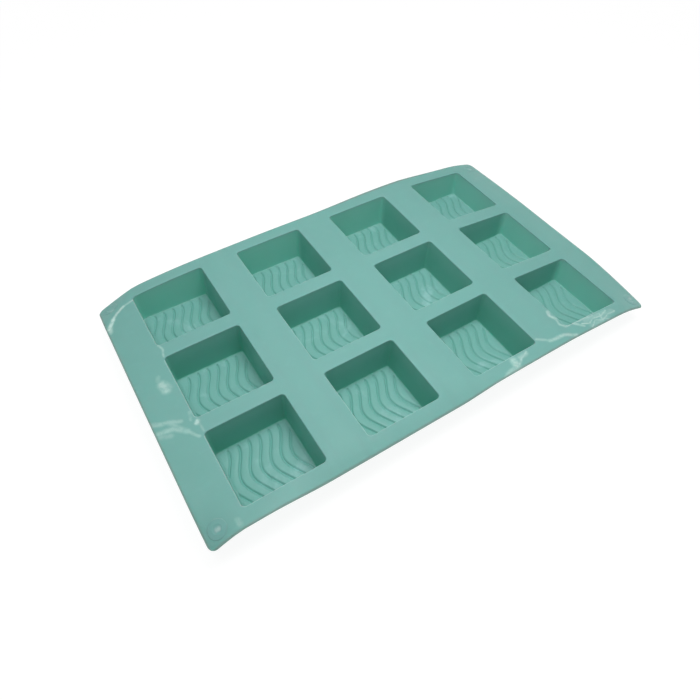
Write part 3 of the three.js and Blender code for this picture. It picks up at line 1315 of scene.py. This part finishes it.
@dataclass(frozen=True)
class CavityWall:
    """The four drafted walls of one cavity, in one closed band from the rim down to the floor."""

    row: str
    column: int
    draft: float = 1.4 * MM
    thickness: float = 1.4 * MM
    floor_fillet: float = 0.6 * MM
    foot_fillet: float = 1.5 * MM
    neck_fillet: float = 1.0 * MM
    arc_steps: int = 6
    wall_steps: int = 9

    @property
    def inner_foot(self) -> tuple[float, float]:
        """Offset from the mouth's line and height of the inner edge that the floor joins."""
        return -self.draft - self.floor_fillet, PLAN.floor_thickness

    @property
    def outer_foot(self) -> tuple[float, float]:
        """Offset from the mouth's line and height of the outer edge that the floor joins."""
        return self.thickness - self.draft - self.foot_fillet, 0.0

    def _profile(self) -> tuple[Array, Array, Array]:
        """The band's cross section, round its closed loop.

        From the foot of the rim it goes down the straight drafted wall, round the floor's quarter
        arc, across to the foot's quarter arc, up the outside and round the neck's quarter arc to
        the deck's underside.

        Returns:
            Offsets from the mouth's line, heights and corner radii.
        """
        plan = PLAN
        quarter = np.linspace(0.0, math.pi / 2.0, self.arc_steps + 1)
        run = np.linspace(0.0, 1.0, self.wall_steps + 1)[1:-1]
        sine, cosine = np.sin(quarter), np.cos(quarter)
        rim_offset, rim_height = plan.rim()
        floor_x = self.inner_foot[0] + self.floor_fillet * cosine
        floor_z = self.inner_foot[1] + self.floor_fillet * (1.0 - sine)
        wall_x = rim_offset[0] + run * (floor_x[0] - rim_offset[0])
        wall_z = rim_height[0] + run * (floor_z[0] - rim_height[0])
        inner_x = np.concatenate([rim_offset[:1], wall_x, floor_x])
        inner_z = np.concatenate([rim_height[:1], wall_z, floor_z])
        foot_x = self.outer_foot[0] + self.foot_fillet * sine
        foot_z = self.foot_fillet * (1.0 - cosine)
        under = plan.deck_top() - plan.deck_thickness
        neck_x = plan.neck_reach - self.neck_fillet * cosine
        neck_z = under - self.neck_fillet * (1.0 - sine)
        side_x = foot_x[-1] + run * (neck_x[0] - foot_x[-1])
        side_z = foot_z[-1] + run * (neck_z[0] - foot_z[-1])
        outer_x = np.concatenate([foot_x, side_x, neck_x])
        outer_z = np.concatenate([foot_z, side_z, neck_z])
        radius = np.concatenate([plan.inner_radius(inner_x), plan.outer_radius(outer_x)])
        return np.concatenate([inner_x, outer_x]), np.concatenate([inner_z, outer_z]), radius

    def build(self, finish: bpy.types.Material) -> bpy.types.Object:
        """Carries the cross section round the square and bends it between the deck and the floor.

        Args:
            finish: The walls' material.

        Returns:
            The finished piece.
        """
        plan = PLAN
        offset, height, radius = self._profile()
        x, y = plan.centre(self.row, self.column)
        rings = plan.ring.points(plan.mouth_side / 2.0 + offset, radius) + np.array((x, y))
        tall = np.broadcast_to(height[:, None, None], (*rings.shape[:2], 1))
        points = np.concatenate([rings, tall], -1).reshape(-1, 3)
        faces = grid_faces(len(offset), plan.ring.count, closed_rows=True, closed_columns=True)
        cell = f"{self.row}{self.column}"
        piece = make_piece(f"wall_skin_{cell}", plan.droop.hang(points), [faces], finish)
        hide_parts(f"cavity_wall_{cell}")
        start = (x, y, plan.deck_top() - plan.deck_thickness)
        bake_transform(piece)
        return piece


@dataclass(frozen=True)
class WaveFloor:
    """The floor of one cavity, with seven wavy grooves that print their lines on the soap."""

    row: str
    column: int
    grooves: int = 7
    pitch: float = 6.15 * MM
    swing: float = 3.6 * MM
    wave_length: float = 39.0 * MM
    groove_width: float = 2.1 * MM
    groove_depth: float = 1.0 * MM
    crown: float = 0.25 * MM
    margin: float = 0.25 * MM
    end_fade: float = 0.5 * MM
    row_steps: int = 62
    fine_steps: int = 10
    plain_steps: int = 3
    edge_steps: int = 26

    def _columns(self, half: float) -> Array:
        """Lines across the floor, close together at each groove and apart between them.

        Args:
            half: Half width of the grooved field.

        Returns:
            Rising places from minus half to half.
        """
        inner = self.grooves // 2 - 1
        middles = np.arange(-inner, inner + 1) * self.pitch
        fine = middles[:, None] + np.linspace(-0.6, 0.6, self.fine_steps + 1) * self.groove_width
        gaps = (middles[:-1] + middles[1:])[:, None] / 2.0
        plain = gaps + np.linspace(-0.25, 0.25, self.plain_steps) * self.pitch
        reach = fine.max() + 0.15 * self.pitch
        edge = np.linspace(reach, half, self.edge_steps + 1)
        return np.sort(np.concatenate([fine.reshape(-1), plain.reshape(-1), edge, -edge]))

    def _relief(self, x: Array, y: Array, half: float) -> Array:
        """Height of the floor over its flat level.

        The distance to the nearest groove's wavy line, square to it, is x plus the swing times the
        cosine of y's turn, less the nearest multiple of the pitch, times the cosine of the line's
        slant. Within half a groove's width the floor is a raised cosine deep, and between grooves
        it crowns a little. Both fade out at the field's edge.

        Args:
            x: Places across the floor.
            y: Places along the floor.
            half: Half width of the grooved field.

        Returns:
            The height at each place.
        """
        turn = 2.0 * math.pi / self.wave_length
        drift = x + self.swing * np.cos(turn * y)
        most = self.grooves // 2
        nearest = np.clip(np.round(drift / self.pitch), -most, most)
        slant = self.swing * turn * np.sin(turn * y)
        apart = np.abs(drift - nearest * self.pitch) / np.sqrt(1.0 + slant * slant)
        inside = np.clip(apart / (self.groove_width / 2.0), 0.0, 1.0)
        cut = self.groove_depth * 0.5 * (1.0 + np.cos(math.pi * inside))
        swell = self.crown * np.sin(math.pi * np.clip(apart / self.pitch, 0.0, 0.5)) ** 2
        fade = ease(half - np.maximum(np.abs(x), np.abs(y)), 0.0, self.end_fade)
        return (swell - cut) * fade

    def _field(self, half: float) -> tuple[Array, int, int]:
        """The grooved field's points: lines that follow the waves inside and come straight at the edges.

        A point is its line's place less the wave's swing, and the swing dies away over the
        outermost lines so that the field's edge is straight.

        Args:
            half: Half width of the field.

        Returns:
            The points about the cavity's middle, and the numbers of rows and columns.
        """
        lines = self._columns(half)
        rows = np.linspace(-half, half, self.row_steps + 1)
        calm = (self.grooves // 2 - 1) * self.pitch + 2.0 * MM
        follow = 1.0 - np.clip((np.abs(lines) - calm) / (half - calm), 0.0, 1.0)
        u, y = np.meshgrid(lines, rows)
        x = u - follow * self.swing * np.cos(2.0 * math.pi / self.wave_length * y)
        z = PLAN.floor_thickness + self._relief(x, y, half)
        return np.stack([x, y, z], -1).reshape(-1, 3), len(rows), len(lines)

    @staticmethod
    def _border(rows: int, columns: int) -> Array:
        """Numbers of a grid's border points, counter-clockwise from its front right corner.

        Args:
            rows: Rows of points.
            columns: Points in a row.

        Returns:
            The points in order round the edge.
        """
        numbers = np.arange(rows * columns).reshape(rows, columns)
        parts = [numbers[:-1, -1], numbers[-1, :0:-1], numbers[:0:-1, 0], numbers[0, :-1]]
        return np.concatenate(parts)

    def build(self, wall: CavityWall, finish: bpy.types.Material) -> bpy.types.Object:
        """Makes the floor: the grooved field, a band out to the wall's edge, and the flat underside.

        Args:
            wall: The wall it joins.
            finish: The floors' material.

        Returns:
            The finished piece.
        """
        plan = PLAN
        mouth = plan.mouth_side / 2.0
        inner, outer = wall.inner_foot, wall.outer_foot
        radii = (float(plan.inner_radius(np.array(inner[0]))), float(plan.outer_radius(np.array(outer[0]))))
        halves = (mouth + inner[0], mouth + outer[0])
        rings = plan.ring.points(np.array(halves), np.array(radii))
        count = plan.ring.count
        half = halves[0] - self.margin - radii[0] * (1.0 - math.sqrt(0.5))
        grooved, rows, columns = self._field(half)
        upper = np.column_stack([rings[0], np.full(count, inner[1])])
        lower = np.column_stack([rings[1], np.full(count, outer[1])])
        inner_ring = plan.ring.points(np.array([halves[1] * 0.5]), np.array([radii[1]]))[0]
        underside = np.column_stack([inner_ring, np.full(count, outer[1])])
        points = np.concatenate([grooved, upper, lower, underside])
        base = len(grooved)
        edge = base + np.arange(count)
        border = self._border(rows, columns)
        where = grooved[border]
        side = np.repeat(np.arange(4), [rows - 1, columns - 1, rows - 1, columns - 1])
        along = np.choose(side, [where[:, 1], -where[:, 0], -where[:, 1], where[:, 0]])
        border_place = side + (along / half + 1.0) / 2.0
        band = zip_loops(edge, border, plan.ring.places(halves[0], radii[0]), border_place)
        quads = grid_faces(rows, columns)
        ladder = np.stack([edge, edge + count, np.roll(edge, -1) + count, np.roll(edge, -1)], -1)
        under = ladder + count
        cap = (edge + 2 * count)[::-1][None, :]
        cx, cy = plan.centre(self.row, self.column)
        points = points + np.array([cx, cy, 0.0])
        cell = f"{self.row}{self.column}"
        piece = make_piece(f"wave_skin_{cell}", points, [quads, ladder, under, band, cap], finish)
        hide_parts(f"wave_floor_{cell}")
        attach(piece, f"floor_{cell}")
        return piece


class Corner(Enum):
    """The sheet's four corners, by where their buttons are, with the column each belongs to."""

    BACK_LEFT = ("back_left", 1)
    BACK_RIGHT = ("back_right", 4)
    FRONT_LEFT = ("front_left", 1)
    FRONT_RIGHT = ("front_right", 4)


@dataclass(frozen=True)
class CornerButton:
    """The low round moulding mark in a corner of the sheet: a faint disc with a dished middle."""

    corner: Corner
    disc_radius: float = 4.7 * MM
    disc_rise: float = 0.14 * MM
    dish_radius: float = 2.3 * MM
    dish_depth: float = 0.22 * MM
    lip: float = 0.10 * MM
    bury: float = 0.5 * MM
    around: int = 56

    def build(self, finish: bpy.types.Material) -> bpy.types.Object:
        """Turns a stepped profile about the corner's middle and lays it on the hung sheet.

        Args:
            finish: The deck's material.

        Returns:
            The finished piece.
        """
        plan = PLAN
        where, column = self.corner.value
        low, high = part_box(f"corner_button_{where}")
        cx, cy = (low.x + high.x) / 2.0, (low.y + high.y) / 2.0
        rise_up, radius, dish = self.disc_rise, self.disc_radius, self.dish_radius
        stops = np.array([
            [0.03 * dish, rise_up - self.dish_depth * 0.55], [0.35 * dish, rise_up - self.dish_depth * 0.60],
            [0.70 * dish, rise_up - self.dish_depth * 0.58], [0.86 * dish, rise_up - self.dish_depth * 0.40],
            [0.94 * dish, rise_up - self.dish_depth * 0.12], [1.00 * dish, rise_up + self.lip * 0.10],
            [1.08 * dish, rise_up + self.lip * 0.35], [1.18 * dish, rise_up + self.lip * 0.10],
            [1.35 * dish, rise_up], [0.90 * radius, rise_up], [0.95 * radius, rise_up * 0.9],
            [0.985 * radius, rise_up * 0.6], [radius, 0.0], [radius, -self.bury], [0.03 * dish, -self.bury],
        ])
        angle = np.linspace(0.0, 2.0 * math.pi, self.around, endpoint=False)
        x = cx + stops[:, :1] * np.cos(angle)
        y = cy + stops[:, :1] * np.sin(angle)
        z = np.broadcast_to(plan.deck_top() + stops[:, 1:], x.shape)
        points = np.stack([x, y, z], -1).reshape(-1, 3)
        points[:, 2] -= plan.droop.depth(points[:, 0], points[:, 1])
        rings = grid_faces(len(stops), self.around, closed_columns=True)[:, ::-1]
        first = np.arange(self.around)[None, :]
        last = first[:, ::-1] + (len(stops) - 1) * self.around
        piece = make_piece(f"corner_mark_{where}", points, [rings, first, last], finish)
        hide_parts(f"corner_button_{where}")
        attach(piece, f"strip_{column}")
        return piece


@dataclass
class SoapMould:
    """The whole mould: deck panels, hinge webs, cavity walls, wavy floors and corner marks."""

    deck: Silicone = Silicone(
        zone=Zone.DECK,
        body=srgb(112, 162, 156),
        deep=srgb(106, 158, 151),
        pale=srgb(118, 168, 163),
        strands=CREASE_HIGHLIGHT_AND_STRANDS + LEFT_STRANDS + FRONT_STRANDS,
        # Strength of the painted highlight on the rims.
        rim=0.42,
        # Painted shade along the outer edge.
        edge_shade=srgb(122, 136, 130),
    )
    web: Silicone = Silicone(
        zone=Zone.WEB,
        body=srgb(112, 162, 156),
        deep=srgb(106, 158, 151),
        pale=srgb(118, 168, 163),
        # Painted shade along the outer edge.
        edge_shade=srgb(122, 136, 130),
        strands=FRONT_STRANDS,
    )
    # The walls are the same silicone as the deck; their greener, more saturated colour is painted shade for
    # the deeper colour light takes on bouncing inside the cavities.
    wall: Silicone = Silicone(
        zone=Zone.WALL,
        body=srgb(104, 170, 158),
        deep=srgb(97, 165, 152),
        pale=srgb(110, 174, 163),
        # Painted light: lighter outermost walls and wall tops.
        painted_wall_light=srgb(131, 186, 178),
        glow_through=1.0,
        glow_depth=4.0 * MM,
        glow_spread=(0.5, 1.0, 0.85),
    )
    # The floors' slightly lighter colour stands in for more light on them, and their bluish-white patches are
    # partly a dry coating and partly painted sheen.
    floor: Silicone = Silicone(
        zone=Zone.FLOOR,
        body=srgb(113, 167, 160),
        deep=srgb(106, 164, 153),
        pale=srgb(121, 172, 169),
        cream=srgb(178, 212, 216),
        coating_and_sheen=0.30,
        roughness=(0.32, 0.50),
        glow_through=0.2,
    )

    def build(self) -> None:
        """Makes every piece and reports it."""
        deck, web = self.deck.build(), self.web.build()
        wall, floor = self.wall.build(), self.floor.build()
        for column in range(1, PLAN.columns + 1):
            self._report(DeckPanel(column).build(deck))
        for column in range(1, PLAN.columns):
            self._report(HingeWeb(column).build(web))
        for corner in Corner:
            self._report(CornerButton(corner).build(deck))
        for row in PLAN.rows:
            for column in range(1, PLAN.columns + 1):
                side = CavityWall(row, column)
                self._report(side.build(wall))
                self._report(WaveFloor(row, column).build(side, floor))

    @staticmethod
    def _report(piece: bpy.types.Object) -> None:
        """Logs a piece's name and number of faces."""
        log.info("%s: %d faces", piece.name, len(piece.data.polygons))


# ---------------------------------------------------------------- the studio


@dataclass(frozen=True)
class Studio:
    """A pale floor, soft overhead light and bright surroundings."""

    floor_half: float = 6.0
    floor_colour: Colour = (0.14, 0.14, 0.14, 1.0)
    floor_glow: float = 0.90
    sky_strength: float = 0.385
    sun_strength: float = 0.86
    sun_spread_deg: float = 20.0
    sun_tilt_deg: tuple[float, float] = (2.0, -2.0)
    key_power: float = 0.85
    key_size: float = 0.19
    key_place: tuple[float, float, float] = (0.0, -0.02, 0.36)

    def build(self) -> None:
        """Makes the floor, the sky and the key light."""
        self._floor()
        self._sky()
        self._sun()
        self._lamp("key_light", self.key_power, self.key_size, self.key_place, (*self.key_place[:2], 0.0))
        bpy.context.scene.view_settings.view_transform = "Standard"

    def _floor(self) -> None:
        """A flat grid with a plain matt finish that is slightly uneven."""
        side = np.linspace(-self.floor_half, self.floor_half, 9)
        gx, gy = np.meshgrid(side, side)
        points = np.stack([gx, gy, np.zeros(gx.shape)], -1).reshape(-1, 3)
        graph = Graph("studio_floor_look")
        uneven = graph.noise(graph.place(), 3.0).outputs["Fac"]
        graph.join(graph.spread(uneven, 0.3, 0.7, 0.75, 0.9), graph.shader.inputs["Roughness"])
        graph.shader.inputs["Base Color"].default_value = self.floor_colour
        graph.shader.inputs["Specular IOR Level"].default_value = 0.0
        graph.shader.inputs["Emission Color"].default_value = (1.0, 1.0, 1.0, 1.0)
        graph.shader.inputs["Emission Strength"].default_value = self.floor_glow
        make_piece("studio_floor", points, [grid_faces(9, 9)], graph.material)

    def _sky(self) -> None:
        """Even light from all round, seen as a plain white backdrop."""
        world = bpy.data.worlds.new("studio_sky")
        world.use_nodes = True
        tree = world.node_tree
        sky = tree.nodes["Background"]
        sky.inputs["Color"].default_value = (1.0, 1.0, 1.0, 1.0)
        seen = tree.nodes.new("ShaderNodeLightPath")
        strength = tree.nodes.new("ShaderNodeMath")
        strength.operation = "MULTIPLY_ADD"
        strength.inputs[1].default_value = 1.0 - self.sky_strength
        strength.inputs[2].default_value = self.sky_strength
        tree.links.new(seen.outputs["Is Camera Ray"], strength.inputs[0])
        tree.links.new(strength.outputs[0], sky.inputs["Strength"])
        bpy.context.scene.world = world

    def _sun(self) -> None:
        """Broad, soft light from almost straight above."""
        lamp = bpy.data.lights.new("top_light", "SUN")
        lamp.energy = self.sun_strength
        lamp.angle = math.radians(self.sun_spread_deg)
        held = bpy.data.objects.new("top_light", lamp)
        held.rotation_euler = (math.radians(self.sun_tilt_deg[0]), math.radians(self.sun_tilt_deg[1]), 0.0)
        bpy.context.scene.collection.objects.link(held)

    @staticmethod
    def _lamp(name: str, power: float, size: float, place: tuple[float, ...], aim: tuple[float, ...]) -> None:
        """A round soft light that the camera doesn't see.

        Args:
            name: Its name.
            power: Its power in watts.
            size: Its diameter in metres.
            place: Where it hangs.
            aim: What it points at.
        """
        lamp = bpy.data.lights.new(name, "AREA")
        lamp.shape = "DISK"
        lamp.size = size
        lamp.energy = power
        held = bpy.data.objects.new(name, lamp)
        held.location = place
        held.visible_camera = False
        away = Vector(aim) - Vector(place)
        held.rotation_euler = away.to_track_quat("-Z", "Y").to_euler()
        bpy.context.scene.collection.objects.link(held)


@dataclass(frozen=True)
class CameraStand:
    """Where the camera stands, which way it looks and how far it is rolled."""

    place: tuple[float, float, float] = (-0.1410, -0.1819, 0.2710)
    azimuth_deg: float = -33.90
    elevation_deg: float = 52.87
    roll_deg: float = 2.03
    lens: float = 27.94
    sensor: float = 36.0

    def build(self) -> None:
        """Makes the camera: its back vector from the two angles, then its roll about that vector."""
        turn, tilt = math.radians(self.azimuth_deg), math.radians(self.elevation_deg)
        back = Vector((math.sin(turn) * math.cos(tilt), -math.cos(turn) * math.cos(tilt), math.sin(tilt)))
        level = Vector((0.0, 0.0, 1.0)).cross(back).normalized()
        right = Matrix.Rotation(math.radians(self.roll_deg), 3, back) @ level
        up = back.cross(right)
        data = bpy.data.cameras.new("camera")
        data.lens, data.sensor_width = self.lens, self.sensor
        data.clip_start, data.clip_end = 0.01, 20.0
        camera = bpy.data.objects.new("camera", data)
        turned = Matrix((right, up, back)).transposed().to_4x4()
        camera.matrix_world = Matrix.Translation(self.place) @ turned
        bpy.context.scene.collection.objects.link(camera)
        bpy.context.scene.camera = camera


def main() -> None:
    """Builds the camera, the studio and the mould."""
    logging.basicConfig(level=logging.INFO, format="%(name)s %(message)s")
    CameraStand().build()
    Studio().build()
    SoapMould().build()


if __name__ == "__main__":
    main()
